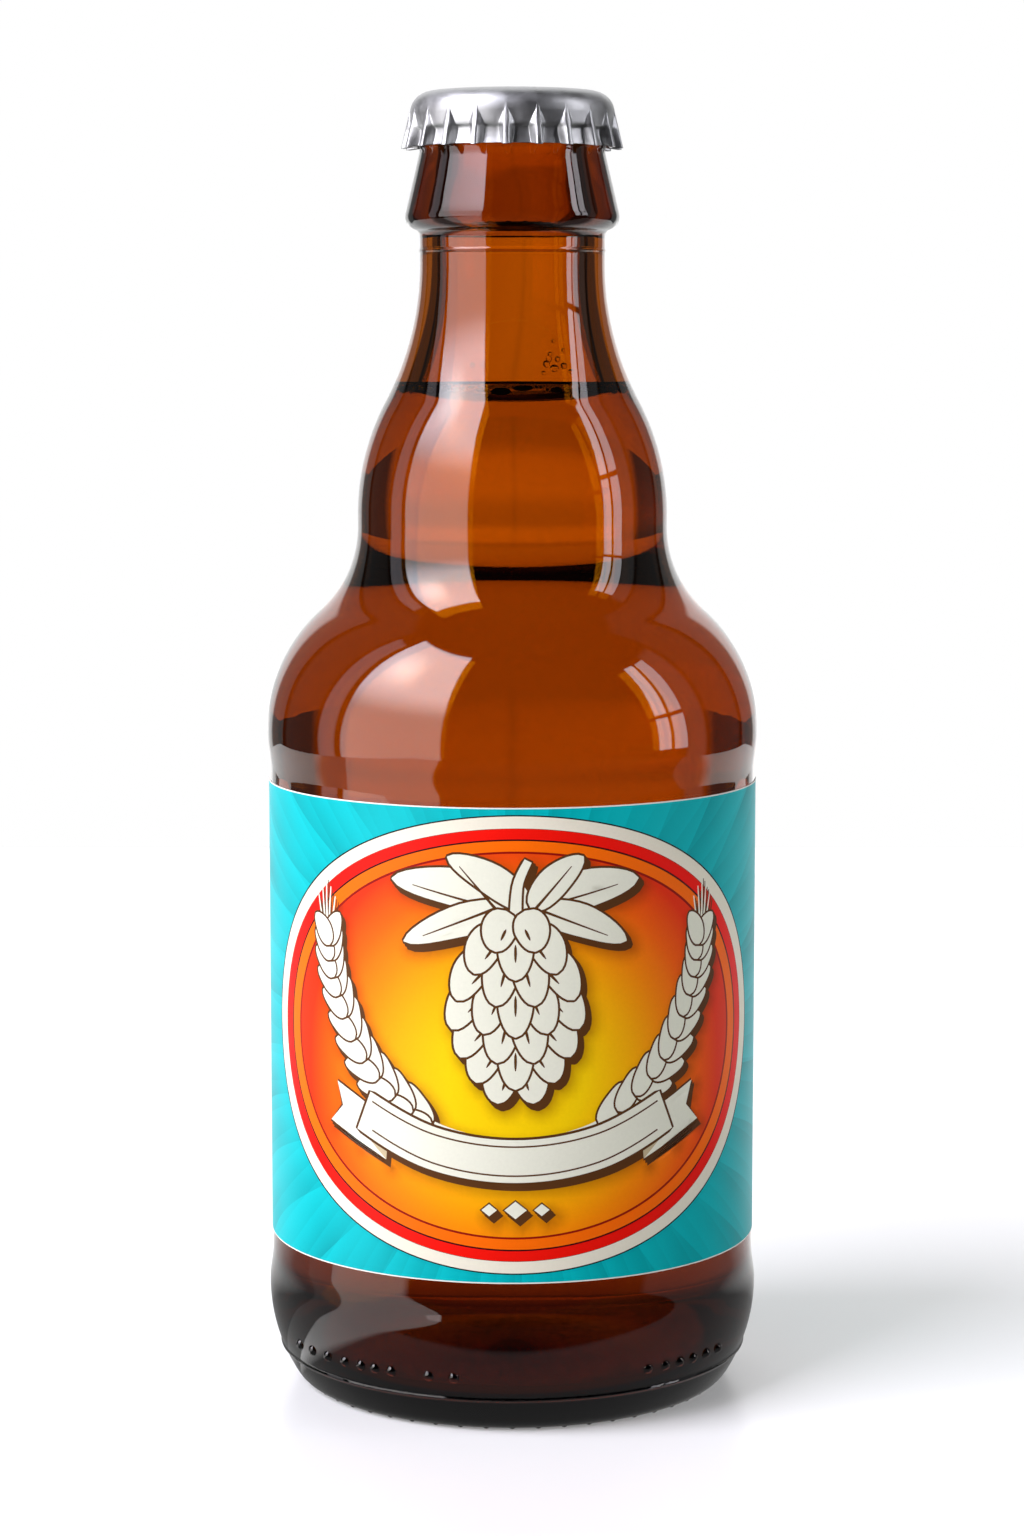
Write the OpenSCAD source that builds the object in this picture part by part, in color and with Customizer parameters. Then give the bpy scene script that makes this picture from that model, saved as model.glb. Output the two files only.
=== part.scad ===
// Stubby long-waisted beer bottle: brown glass, filled, shut with a crimped crown cap,
// with a paper label wrapped round the flat panel of its body.
// Millimetres, +Z up. The origin is the centre of the circle that the bottle stands on.
// Every outline is a list of [radius, height] points, from the bottom up.

/* [Body] */
// Diameter of the straight panel that carries the label
panel_d = 65.8; // [53:0.1:82]
// Height of the straight panel
panel_h = 65.3; // [52:0.1:82]
// How far the rims above and below the panel stand out from it
rim_out = 0.45; // [0.2:0.05:0.9]
// Height over which the panel eases out into each rim
rim_ease = 5.1; // [4:0.1:7]
// Radius of the heel's big outer curve
heel_r = 22.2; // [19:0.1:26]
// Height of the widest point of the heel
heel_h = 13.3; // [11:0.1:16]
// Radius of the small curve between the heel and the standing ring
toe_r = 3.2; // [2.5:0.1:4.2]

/* [Base] */
// Width of the flat ring that the bottle stands on
standing_w = 1.8; // [1.2:0.1:2.6]
// Rise of the hollow under the base
punt_h = 3.2; // [2:0.1:5]
// Thickness of the glass at the lowest ring of the inner floor
floor_t = 4.5; // [3.6:0.1:6]
// Rise of the inner floor towards its centre
floor_rise = 3.5; // [2:0.1:5]
// Radius of the inner corner between the floor and the wall
inner_heel_r = 12; // [9:0.5:15]

/* [Shoulder and neck] */
// Radius of the rounded shoulder
shoulder_r = 22.2; // [19:0.1:26]
// Diameter of the waist between the shoulder and the neck bulge
waist_d = 41.7; // [35:0.1:49]
// Radius of the hollow curve at the waist
waist_r = 15; // [13:0.1:18]
// Height of the short straight part of the waist
waist_h = 1.5; // [0.5:0.1:3]
// Radius of the rounded bulge that starts the neck
bulge_r = 32.4; // [27:0.1:38]
// Diameter of the neck under the collar
neck_d = 24.7; // [22:0.1:29]
// Radius of the hollow curve that runs up into the neck
neck_r = 38.3; // [32:0.1:45]
// Height of the straight top of the neck, under the collar
neck_h = 3.3; // [2.6:0.1:4]

/* [Glass wall] */
// Thickness of the glass in the body
body_wall = 2.3; // [1.8:0.1:3]
// Thickness of the glass in the neck
neck_wall = 2.9; // [2.3:0.1:3.5]
// Diameter of the bore at the mouth
mouth_d = 16; // [14:0.1:17.5]

/* [Collar and finish] */
// How far the collar's lower edge stands out from the neck
collar_out = 1.97; // [1.6:0.05:2.4]
// Radius of the collar's rounded lower edge
collar_r = 2; // [1.6:0.1:2.4]
// Radius of the fillet under the collar
collar_fillet = 1; // [0.6:0.1:1.4]
// Height of the collar's cone, above its rounded lower edge
collar_h = 8.6; // [7:0.1:10]
// Height from the top of the collar's cone to the mouth
finish_h = 7.56; // [7.1:0.02:9]
// Diameter of the locking ring that the cap is crimped under
ring_d = 25.9; // [25.7:0.1:26.5]
// Radius of the rounding under the locking ring
ring_r = 1.5; // [1.3:0.05:1.7]
// How far the glass under the locking ring stands back from it
groove_in = 0.6; // [0.5:0.05:0.8]
// Radius of the lip's outer rounding
lip_r = 3; // [2.6:0.1:3.2]
// Radius of the lip's inner rounding
lip_in_r = 1; // [0.6:0.1:1.2]

/* [Mould marks] */
// Diameter of each round dot of the mould code on the heel
dot_d = 1.3; // [0.9:0.1:1.8]
// How far a dot stands out from the heel
dot_out = 0.45; // [0.3:0.05:0.6]
// Height of the row of dots above the table
dot_z = 8; // [6:0.1:11]
// Number of short bars knurled into the standing ring
bar_n = 52; // [30:1:64]
// Width of each bar
bar_w = 1.3; // [0.8:0.1:1.6]
// Length of each bar
bar_l = 2.4; // [1.6:0.1:3]
// How far the bars stay above the table
bar_up = 0.05; // [0.05:0.05:0.3]

/* [Crown cap] */
// Thickness of the cap's sheet metal
cap_t = 0.27; // [0.2:0.01:0.35]
// Height of the cap over all
cap_h = 7.47; // [6.9:0.01:8]
// Radius of the cap's rounded top edge
cap_edge_r = 2.88; // [2.4:0.02:3]
// Room between the cap's sides and the locking ring
cap_gap = 0.4; // [0.3:0.05:0.6]
// How far the folds flare out from the cap's side at the bottom
flare_out = 1.18; // [0.8:0.02:1.6]
// Room between the crimped skirt and the glass under the locking ring
crimp_gap = 0.36; // [0.3:0.02:0.5]
// Height of the crimp above the edge of the skirt
crimp_z = 2.6; // [2.2:0.1:2.9]
// How far the flat parts of the skirt turn out below the crimp
land_out = 0.3; // [0.1:0.05:0.5]
// Number of folds round the skirt
fold_n = 21; // [21:1:24]
// Turn of the cap on the bottle: the angle of one fold from the front
cap_turn = -3.2; // [-8:0.1:8]

/* [Label] */
// Thickness of the paper
label_t = 0.1; // [0.06:0.01:0.2]
// Bare glass between the label and the bottom of the panel
label_low = 2.4; // [0.5:0.1:5]
// Bare glass between the label and the top of the panel
label_high = 1; // [0.5:0.1:5]
// Width of the bare strip at the back, between the label's ends
label_open = 32; // [2:0.5:60]

/* [Contents] */
// Height of the empty space above the beer, up to the mouth
headspace_h = 40.5; // [36:0.1:47]

/* [Hidden] */

AMBER = [0.42, 0.17, 0.03];
GOLD = [0.80, 0.45, 0.05];
TINPLATE = [0.78, 0.79, 0.80];
TEAL = [0.08, 0.75, 0.78];
ROUND = 96;

// Points of an arc that is drawn from angle a0 to a1
function arc(c, r, a0, a1, n) =
    [for (i = [0:n]) let (a = a0 + (a1 - a0) * i / n) c + r * [cos(a), sin(a)]];

// Points of an arc whose radius changes evenly from r0 to r1
function easing_arc(c, r0, r1, a0, a1, n) =
    [for (i = [0:n]) let (a = a0 + (a1 - a0) * i / n, r = r0 + (r1 - r0) * i / n)
        c + r * [cos(a), sin(a)]];

// A smooth step up a wall, from point p to point q
function wall_step(p, q, n) =
    [for (i = [0:n]) let (t = i / n)
        [p[0] + (q[0] - p[0]) * (1 - cos(180 * t)) / 2, p[1] + (q[1] - p[1]) * t]];

// A smooth step along a floor, from point p to point q
function floor_step(p, q, n) =
    [for (i = [0:n]) let (t = i / n)
        [p[0] + (q[0] - p[0]) * t, p[1] + (q[1] - p[1]) * (1 - cos(180 * t)) / 2]];

// Height between the centres of two touching arcs whose centres are dr apart sideways
function rise(r_sum, dr) = sqrt(r_sum * r_sum - dr * dr);

// --- heel and standing ring ---
panel_rad = panel_d / 2;
rim_rad = panel_rad + rim_out;
heel_c = [rim_rad - heel_r, heel_h];
toe_c = [heel_c[0] + rise(heel_r - toe_r, heel_h - toe_r), toe_r];
toe_a = atan2(toe_c[1] - heel_c[1], toe_c[0] - heel_c[0]);
standing_in = toe_c[0] - standing_w;

// --- panel ---
panel_z0 = heel_h + rim_ease;
panel_z1 = panel_z0 + panel_h;
shoulder_z = panel_z1 + rim_ease;

// --- shoulder, waist and neck: each arc touches the next one ---
shoulder_c = [rim_rad - shoulder_r, shoulder_z];
waist_c = [waist_d / 2 + waist_r,
    shoulder_z + rise(shoulder_r + waist_r, waist_d / 2 + waist_r - shoulder_c[0])];
shoulder_a = atan2(waist_c[1] - shoulder_c[1], waist_c[0] - shoulder_c[0]);
bulge_c = [waist_d / 2 - bulge_r, waist_c[1] + waist_h];
neck_c = [neck_d / 2 + neck_r,
    bulge_c[1] + rise(bulge_r + neck_r, neck_d / 2 + neck_r - bulge_c[0])];
bulge_a = atan2(neck_c[1] - bulge_c[1], neck_c[0] - bulge_c[0]);

// --- collar and finish ---
collar_rad = neck_d / 2 + collar_out;
fillet_c = [neck_d / 2 + collar_fillet, neck_c[1] + neck_h];
collar_c = [collar_rad - collar_r,
    fillet_c[1] + rise(collar_r + collar_fillet, fillet_c[0] - collar_rad + collar_r)];
fillet_a = atan2(collar_c[1] - fillet_c[1], collar_c[0] - fillet_c[0]);
cone_top = collar_c[1] + collar_h;
mouth_z = cone_top + finish_h;
ring_rad = ring_d / 2;
ring_z = mouth_z - lip_r;
groove_rad = ring_rad - groove_in;
groove_a = acos((groove_rad - ring_rad + ring_r) / ring_r);
cone_a = atan2(collar_rad - groove_rad, collar_h);

// --- inside ---
inner_rad = panel_rad - body_wall;
inner_heel_c = [inner_rad - inner_heel_r, floor_t + inner_heel_r];
fill_z = mouth_z - headspace_h;
throat_z0 = neck_c[1] + neck_h;
throat_z1 = cone_top - 1;

// --- crown cap ---
cap_top = mouth_z + cap_t;
cap_rad = ring_rad + cap_gap + cap_t;
cap_edge_c = [cap_rad - cap_edge_r, cap_top - cap_edge_r];
skirt_z = cap_top - cap_h;
fold_rad = cap_rad + flare_out;
crimp_rad = groove_rad + crimp_gap + cap_t;

outer_wall = concat(
    wall_step([rim_rad, heel_h], [panel_rad, panel_z0], 8),
    wall_step([panel_rad, panel_z1], [rim_rad, shoulder_z], 8),
    arc(shoulder_c, shoulder_r, 0, shoulder_a, 14),
    arc(waist_c, waist_r, shoulder_a + 180, 180, 12),
    arc(bulge_c, bulge_r, 0, bulge_a, 10),
    arc(neck_c, neck_r, bulge_a + 180, 180, 10)
);

outer_base = concat(
    floor_step([0, punt_h], [standing_in, 0], 12),
    arc(toe_c, toe_r, -90, toe_a, 8),
    arc(heel_c, heel_r, toe_a, 0, 10)
);

outer_finish = concat(
    arc(fillet_c, collar_fillet, 180, fillet_a, 6),
    arc(collar_c, collar_r, fillet_a - 180, cone_a, 8),
    [[groove_rad, cone_top]],
    arc([ring_rad - ring_r, ring_z], ring_r, -groove_a, 0, 6),
    arc([ring_rad - lip_r, ring_z], lip_r, 0, 90, 8)
);

inner_wall = concat(
    floor_step([0, floor_t + floor_rise], [inner_heel_c[0], floor_t], 12),
    arc(inner_heel_c, inner_heel_r, -90, 0, 12),
    wall_step([inner_rad, panel_z1], [rim_rad - body_wall, shoulder_z], 8),
    arc(shoulder_c, shoulder_r - body_wall, 0, shoulder_a, 14),
    arc(waist_c, waist_r + body_wall, shoulder_a + 180, 180, 12),
    easing_arc(bulge_c, bulge_r - body_wall, bulge_r - neck_wall, 0, bulge_a, 10),
    arc(neck_c, neck_r + neck_wall, bulge_a + 180, 180, 10),
    wall_step([neck_d / 2 - neck_wall, throat_z0], [mouth_d / 2, throat_z1], 8),
    arc([mouth_d / 2 + lip_in_r, mouth_z - lip_in_r], lip_in_r, 180, 90, 5)
);

// Outline of the solid glass, closed down its axis
module glass_outline() {
    polygon(concat(outer_base, outer_wall, outer_finish, [[0, mouth_z]]));
}

// Outline of everything inside the glass, up to the mouth
module cavity_outline() {
    polygon(concat(inner_wall, [[0, mouth_z]]));
}

// Radius of the heel at height z
function heel_rad(z) = heel_c[0] + sqrt(heel_r * heel_r - (z - heel_h) * (z - heel_h));

// Angles of the code dots from the front, to the left and to the right: the bare places are part of the code
LEFT_DOTS = [13.5, 19.5, 29, 33.5, 37.5, 42.5, 48.5, 54.5, 60.5];
RIGHT_DOTS = [33, 38, 42.5, 47, 52, 57];

module code_dot(angle) {
    rotate([0, 0, angle - 90])
        translate([heel_rad(dot_z) - dot_d / 2 + dot_out, 0, dot_z])
            sphere(d = dot_d, $fn = 24);
}

module knurl_bar(angle) {
    rotate([0, 0, angle])
        translate([toe_c[0] - bar_l / 2, 0, bar_w / 2 + bar_up])
            rotate([0, 90, 0])
                cylinder(d = bar_w, h = bar_l, $fn = 24);
}

module bottle_glass() {
    color(AMBER) {
        rotate_extrude($fn = ROUND)
            difference() {
                glass_outline();
                cavity_outline();
            }
        for (a = LEFT_DOTS) code_dot(-a);
        for (a = RIGHT_DOTS) code_dot(a);
        for (i = [0:bar_n - 1]) knurl_bar(360 * i / bar_n);
    }
}

// The beer fills the glass exactly, up to a level surface
module beer() {
    color(GOLD)
        rotate_extrude($fn = ROUND)
            intersection() {
                cavity_outline();
                square([panel_rad, fill_z]);
            }
}

// One fold of the skirt: places across it, in pitches, and how far each stands out, from 0 to 1
FOLD = [[0, 1], [0.1, 0.8], [0.24, 0.1], [0.5, 0], [0.76, 0.1], [0.9, 0.8]];

// How far down the skirt its rings lie, from 0 at the rounded edge to 1 at the bottom
crimp_at = 1 - crimp_z / (cap_edge_c[1] - skirt_z);
SKIRT = [0, crimp_at / 2, crimp_at * 0.8, crimp_at * 1.15, 1];

// Radius of the flat part between two folds, at a place down the skirt
function land_rad(s) =
    s < crimp_at
        ? cap_rad - cap_gap * s
        : crimp_rad + land_out * (s - crimp_at) / (1 - crimp_at);

// Radius of the skirt at a place down it and a place across a fold
function skirt_rad(s, out) =
    let (fold = cap_rad + flare_out * s, land = land_rad(s)) land + (fold - land) * out;

// Direction of place f across fold k, measured from +X
function fold_turn(k, f) = 360 * (k + f[0]) / fold_n + cap_turn - 90;

// One ring of points on the rounded edge, at angle a, sunk by the depth t under the outer face
function edge_ring(a, t) =
    [for (k = [0:fold_n - 1], f = FOLD)
        let (turn = fold_turn(k, f), r = cap_edge_c[0] + (cap_edge_r - t) * cos(a))
            [r * cos(turn), r * sin(turn), cap_edge_c[1] + (cap_edge_r - t) * sin(a)]];

// One ring of points on the skirt, at place s down it, sunk by the depth t
function skirt_ring(s, t) =
    [for (k = [0:fold_n - 1], f = FOLD)
        let (turn = fold_turn(k, f), r = skirt_rad(s, f[1]) - t)
            [r * cos(turn), r * sin(turn), cap_edge_c[1] + (skirt_z - cap_edge_c[1]) * s]];

// All the rings of the cap's side, from the top's rim down
EDGE = [90, 65, 40, 15];
function cap_side(t) = concat(
    [for (a = EDGE) each edge_ring(a, t)],
    [for (s = SKIRT) each skirt_ring(s, t)]
);

module crown_cap() {
    across = fold_n * len(FOLD);
    rings = len(EDGE) + len(SKIRT);
    inside = across * rings;
    outer_faces = [for (j = [0:rings - 2], i = [0:across - 1])
        let (a = j * across + i, b = j * across + (i + 1) % across)
        each [[a, a + across, b], [b, a + across, b + across]]];
    inner_faces = [for (f = outer_faces) [f[0] + inside, f[2] + inside, f[1] + inside]];
    edge_faces = [for (i = [0:across - 1])
        let (a = inside - across + i, b = inside - across + (i + 1) % across)
        each [[a, a + inside, b], [b, a + inside, b + inside]]];
    top_face = [for (i = [0:across - 1]) i];
    ceiling_face = [for (i = [across - 1:-1:0]) i + inside];
    color(TINPLATE)
        polyhedron(
            points = concat(cap_side(0), cap_side(cap_t)),
            faces = concat([top_face], outer_faces, edge_faces, inner_faces, [ceiling_face])
        );
}

// The paper's two ends stop short of each other at the back
module label() {
    open_a = 180 * label_open / (PI * panel_rad);
    color(TEAL)
        rotate([0, 0, 90 + open_a / 2])
            rotate_extrude(angle = 360 - open_a, $fn = ROUND)
                translate([panel_rad, panel_z0 + label_low])
                    square([label_t, panel_h - label_low - label_high]);
}

bottle_glass();
beer();
crown_cap();
label();
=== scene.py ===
import math

import bmesh
import bpy
import numpy as np
from mathutils import Matrix, Vector
from mathutils.geometry import delaunay_2d_cdt


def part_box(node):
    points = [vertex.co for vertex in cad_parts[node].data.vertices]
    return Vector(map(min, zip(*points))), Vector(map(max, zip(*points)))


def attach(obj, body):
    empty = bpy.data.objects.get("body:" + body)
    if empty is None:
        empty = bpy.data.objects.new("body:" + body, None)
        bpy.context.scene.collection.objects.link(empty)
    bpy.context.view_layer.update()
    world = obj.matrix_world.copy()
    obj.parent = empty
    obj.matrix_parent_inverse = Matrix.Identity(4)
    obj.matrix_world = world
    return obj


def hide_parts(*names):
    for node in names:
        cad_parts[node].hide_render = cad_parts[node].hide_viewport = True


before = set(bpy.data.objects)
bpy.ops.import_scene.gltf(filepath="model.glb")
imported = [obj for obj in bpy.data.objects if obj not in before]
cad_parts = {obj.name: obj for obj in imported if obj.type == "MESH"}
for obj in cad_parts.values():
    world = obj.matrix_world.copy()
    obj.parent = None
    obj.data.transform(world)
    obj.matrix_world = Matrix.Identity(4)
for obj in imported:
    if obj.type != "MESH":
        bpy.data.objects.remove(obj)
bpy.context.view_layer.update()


# Brown glass bottle: one blown piece of brown soda-lime container glass, with a hollow base,
# a straight panel for the label, a waist, a long neck bulge and a collar under the crown finish.
# The mould leaves a parting line at the heel and a fine ring where the neck mould meets the body.

MM = 0.001
glass_low, glass_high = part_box("bottle_glass")
rim_rad = (glass_high[0] - glass_low[0]) / 2 / MM
mouth_z = glass_high[2] / MM

# All sizes in millimetres, the same as those that the solid model is built from.
rim_out, rim_ease = 0.45, 5.1
heel_r, heel_h, toe_r = 22.2, 13.3, 3.2
standing_w, punt_h, floor_t, floor_rise, inner_heel_r = 1.8, 3.2, 4.5, 3.5, 12.0
panel_h, shoulder_r = 65.3, 22.2
waist_rad, waist_r, waist_h = 20.85, 15.0, 1.5
bulge_r, neck_rad, neck_r, neck_h = 32.4, 12.35, 38.3, 3.3
collar_out, collar_r, collar_fillet, collar_h = 1.97, 2.0, 1.0, 8.6
ring_rad, ring_r, groove_in, lip_r, lip_in_r = 12.95, 1.5, 0.6, 3.0, 1.0
body_wall, neck_wall, mouth_rad = 2.3, 2.9, 8.0


def arc(centre, radius, start, end, step=0.6):
    """Points [radius, height] on an arc from one angle to another, about a step apart."""
    first, last = radius if isinstance(radius, tuple) else (radius, radius)
    count = max(3, math.ceil(abs(math.radians(end - start)) * first / step))
    angle = np.radians(np.linspace(start, end, count + 1))
    reach = np.linspace(first, last, count + 1)
    return np.column_stack((centre[0] + reach * np.cos(angle), centre[1] + reach * np.sin(angle)))


def ease(start, end, along, step=0.6):
    """Points of a smooth step from one point to another, even along axis 0 (floor) or 1 (wall)."""
    start, end = np.array(start, float), np.array(end, float)
    share = np.linspace(0, 1, max(3, math.ceil(abs(end - start)[along] / step)) + 1)
    smooth = (1 - np.cos(math.pi * share)) / 2
    points = np.empty((len(share), 2))
    points[:, along] = start[along] + (end - start)[along] * share
    points[:, 1 - along] = start[1 - along] + (end - start)[1 - along] * smooth
    return points


def line(start, end, step=3.0):
    """Evenly spaced points on a straight line."""
    start, end = np.array(start, float), np.array(end, float)
    share = np.linspace(0, 1, max(1, math.ceil(np.hypot(*(end - start)) / step)) + 1)
    return start + (end - start) * share[:, None]


def rise(r_sum, across):
    """Height between the centres of two touching arcs whose centres are that far apart sideways."""
    return math.sqrt(r_sum ** 2 - across ** 2)


def slope(start, end):
    """Direction from one point to another, in degrees."""
    return math.degrees(math.atan2(end[1] - start[1], end[0] - start[0]))


def one_by_one(*parts):
    """One outline from several, without the points where they meet twice."""
    points = np.vstack(parts)
    gap = np.hypot(*(points[1:] - points[:-1]).T)
    return points[np.concatenate(([True], gap > 1e-4))]


panel_rad = rim_rad - rim_out
heel_c = (rim_rad - heel_r, heel_h)
toe_c = (heel_c[0] + rise(heel_r - toe_r, heel_h - toe_r), toe_r)
toe_a = slope(heel_c, toe_c)
panel_z0 = heel_h + rim_ease
panel_z1 = panel_z0 + panel_h
shoulder_c = (rim_rad - shoulder_r, panel_z1 + rim_ease)
waist_c = (
    waist_rad + waist_r,
    shoulder_c[1] + rise(shoulder_r + waist_r, waist_rad + waist_r - shoulder_c[0]),
)
shoulder_a = slope(shoulder_c, waist_c)
bulge_c = (waist_rad - bulge_r, waist_c[1] + waist_h)
neck_c = (neck_rad + neck_r, bulge_c[1] + rise(bulge_r + neck_r, neck_rad + neck_r - bulge_c[0]))
bulge_a = slope(bulge_c, neck_c)
fillet_c = (neck_rad + collar_fillet, neck_c[1] + neck_h)
collar_c = (
    neck_rad + collar_out - collar_r,
    fillet_c[1] + rise(collar_r + collar_fillet, collar_fillet - collar_out + collar_r),
)
fillet_a = slope(fillet_c, collar_c)
groove_rad = ring_rad - groove_in
cone_top = collar_c[1] + collar_h
cone_a = slope((0, 0), (collar_h, neck_rad + collar_out - groove_rad))
ring_z = mouth_z - lip_r
groove_a = math.degrees(math.acos((groove_rad - ring_rad + ring_r) / ring_r))

outer = one_by_one(
    ease((0, punt_h), (toe_c[0] - standing_w, 0), 0, 1.0),
    arc(toe_c, toe_r, -90, toe_a, 0.3),
    arc(heel_c, heel_r, toe_a, -20, 0.16),
    arc(heel_c, heel_r, -20, 0),
    ease((rim_rad, heel_h), (panel_rad, panel_z0), 1),
    line((panel_rad, panel_z0), (panel_rad, panel_z1)),
    ease((panel_rad, panel_z1), (rim_rad, shoulder_c[1]), 1),
    arc(shoulder_c, shoulder_r, 0, shoulder_a),
    arc(waist_c, waist_r, shoulder_a + 180, 180),
    arc(bulge_c, bulge_r, 0, bulge_a),
    arc(neck_c, neck_r, bulge_a + 180, 180),
    line((neck_rad, neck_c[1]), (neck_rad, fillet_c[1]), 0.12),
    arc(fillet_c, collar_fillet, 180, fillet_a, 0.2),
    arc(collar_c, collar_r, fillet_a - 180, cone_a, 0.25),
    line(collar_c + collar_r * np.array([math.cos(math.radians(cone_a)), math.sin(math.radians(cone_a))]),
         (groove_rad, cone_top), 1.0),
    arc((ring_rad - ring_r, ring_z), ring_r, -groove_a, 0, 0.4),
    arc((ring_rad - lip_r, ring_z), lip_r, 0, 90, 0.5),
)
inner_rad = panel_rad - body_wall
inner = one_by_one(
    ease((0, floor_t + floor_rise), (inner_rad - inner_heel_r, floor_t), 0, 1.2),
    arc((inner_rad - inner_heel_r, floor_t + inner_heel_r), inner_heel_r, -90, 0, 1.0),
    line((inner_rad, floor_t + inner_heel_r), (inner_rad, panel_z1), 4.0),
    ease((inner_rad, panel_z1), (rim_rad - body_wall, shoulder_c[1]), 1, 1.0),
    arc(shoulder_c, shoulder_r - body_wall, 0, shoulder_a, 0.9),
    arc(waist_c, waist_r + body_wall, shoulder_a + 180, 180, 0.9),
    arc(bulge_c, (bulge_r - body_wall, bulge_r - neck_wall), 0, bulge_a, 0.9),
    arc(neck_c, neck_r + neck_wall, bulge_a + 180, 180, 0.9),
    ease((neck_rad - neck_wall, neck_c[1] + neck_h), (mouth_rad, cone_top - 1), 1, 1.0),
    arc((mouth_rad + lip_in_r, mouth_z - lip_in_r), lip_in_r, 180, 90, 0.3),
)

# Two fine ridges of the mould: where the base plate meets the body, and where the neck ring does.
for ridge_z, ridge_out, ridge_w in ((4.9, 0.24, 0.24), (153.35, 0.13, 0.2)):
    outer[:, 0] += ridge_out * np.exp(-((outer[:, 1] - ridge_z) / ridge_w) ** 2) * (outer[:, 0] > 12)


def unevenness(angle, z):
    """How far the inside of a blown wall strays from round, in millimetres."""
    return (
        0.10 * np.sin(2 * angle + 0.7 + z / 31)
        + 0.07 * np.sin(3 * angle + 1.3 - z / 17)
        + 0.04 * np.sin(5 * angle + z / 11)
    )


def lathe(name, outline, turns, uneven):
    """A closed skin round the Z axis. The outline runs from the axis back to the axis, and uneven
    says for each of its points how much of the wall's unevenness it takes, from 0 to 1."""
    angle = np.linspace(0, 2 * math.pi, turns, endpoint=False)
    rings, share = outline[1:-1], np.array(uneven)[1:-1]
    radius = rings[:, :1] + share[:, None] * unevenness(angle[None], rings[:, 1:])
    skin = np.stack((radius * np.cos(angle), radius * np.sin(angle), np.tile(rings[:, 1:], turns)), 2)
    ends = np.array([[0, 0, outline[0, 1]], [0, 0, outline[-1, 1]]])
    points = np.vstack((ends, skin.reshape(-1, 3))) * MM
    here = 2 + np.arange(turns)
    ahead = np.roll(here, -1)
    faces = [(0, b, a) for a, b in zip(here, ahead)]
    for ring in range(len(rings) - 1):
        low, high = ring * turns, (ring + 1) * turns
        faces += zip(here + low, ahead + low, ahead + high, here + high)
    last = (len(rings) - 1) * turns
    faces += [(1, a + last, b + last) for a, b in zip(here, ahead)]
    mesh = bpy.data.meshes.new(name)
    mesh.from_pydata(points.tolist(), [], [tuple(int(i) for i in face) for face in faces])
    mesh.shade_smooth()
    piece = bpy.data.objects.new(name, mesh)
    bpy.context.scene.collection.objects.link(piece)
    return piece


def add(tree, kind, inputs=None, **settings):
    """Adds a node to a tree. Each input is a value, or the socket or node that feeds it."""
    node = tree.nodes.new(kind)
    for key, value in settings.items():
        setattr(node, key, value)
    for key, value in (inputs or {}).items():
        if isinstance(value, bpy.types.Node):
            value = next(socket for socket in value.outputs if socket.enabled)
        if isinstance(value, bpy.types.NodeSocket):
            tree.links.new(value, node.inputs[key])
        else:
            node.inputs[key].default_value = value
    return node


def colour(code):
    """A linear colour from an sRGB hex code."""
    parts = [int(code[i:i + 2], 16) / 255 for i in (1, 3, 5)]
    return [c / 12.92 if c <= 0.04045 else ((c + 0.055) / 1.055) ** 2.4 for c in parts] + [1.0]


def new_material(name):
    """A material with an empty tree, and its output node."""
    material = bpy.data.materials.new(name)
    material.use_nodes = True
    material.node_tree.nodes.clear()
    return material, material.node_tree, add(material.node_tree, "ShaderNodeOutputMaterial")


# Brown container glass: clear, fire-polished, and coloured right through, so thick places go dark.
# The faint swell of the bump is what makes reflections in moulded glass waver at their edges.
brown_glass, tree, output = new_material("brown_glass")
place = add(tree, "ShaderNodeTexCoord").outputs["Object"]
swell = add(tree, "ShaderNodeTexNoise", {"Vector": place, "Scale": 160.0, "Detail": 1.0})
bump = add(tree, "ShaderNodeBump", {"Height": swell.outputs[0], "Strength": 0.25, "Distance": 0.00006})
surface = add(tree, "ShaderNodeBsdfPrincipled", {
    "Base Color": colour("#FFC689"), "Roughness": 0.0, "IOR": 1.52, "Transmission Weight": 1.0,
    "Normal": bump.outputs[0],
})
tint = add(tree, "ShaderNodeVolumeAbsorption", {"Color": colour("#EDE12A"), "Density": 1180.0})
tree.links.new(surface.outputs[0], output.inputs["Surface"])
tree.links.new(tint.outputs[0], output.inputs["Volume"])

wall = np.vstack((outer, inner[::-1]))
takes = np.concatenate((np.zeros(len(outer)), np.where(inner[::-1, 1] < mouth_z - 12, 1.0, 0.0)))
points_round = 180
bottle = lathe("brown_glass_bottle", wall, points_round, takes)
bottle.data.materials.append(brown_glass)


def new_tree(name, sockets):
    """A Geometry Nodes tree with named inputs, and its input and output nodes."""
    tree = bpy.data.node_groups.new(name, "GeometryNodeTree")
    tree.interface.new_socket("Geometry", in_out="INPUT", socket_type="NodeSocketGeometry")
    for label, kind in sockets:
        tree.interface.new_socket(label, in_out="INPUT", socket_type="NodeSocket" + kind)
    tree.interface.new_socket("Geometry", in_out="OUTPUT", socket_type="NodeSocketGeometry")
    return tree, add(tree, "NodeGroupInput").outputs


def finish_tree(tree, made, material):
    """Ends a tree: real geometry, shaded smooth, in one material."""
    real = add(tree, "GeometryNodeRealizeInstances", {"Geometry": made})
    smooth = add(tree, "GeometryNodeSetShadeSmooth", {"Geometry": real.outputs[0]})
    painted = add(tree, "GeometryNodeSetMaterial", {"Geometry": smooth.outputs[0], "Material": material})
    add(tree, "NodeGroupOutput", {"Geometry": painted.outputs[0]})


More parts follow.
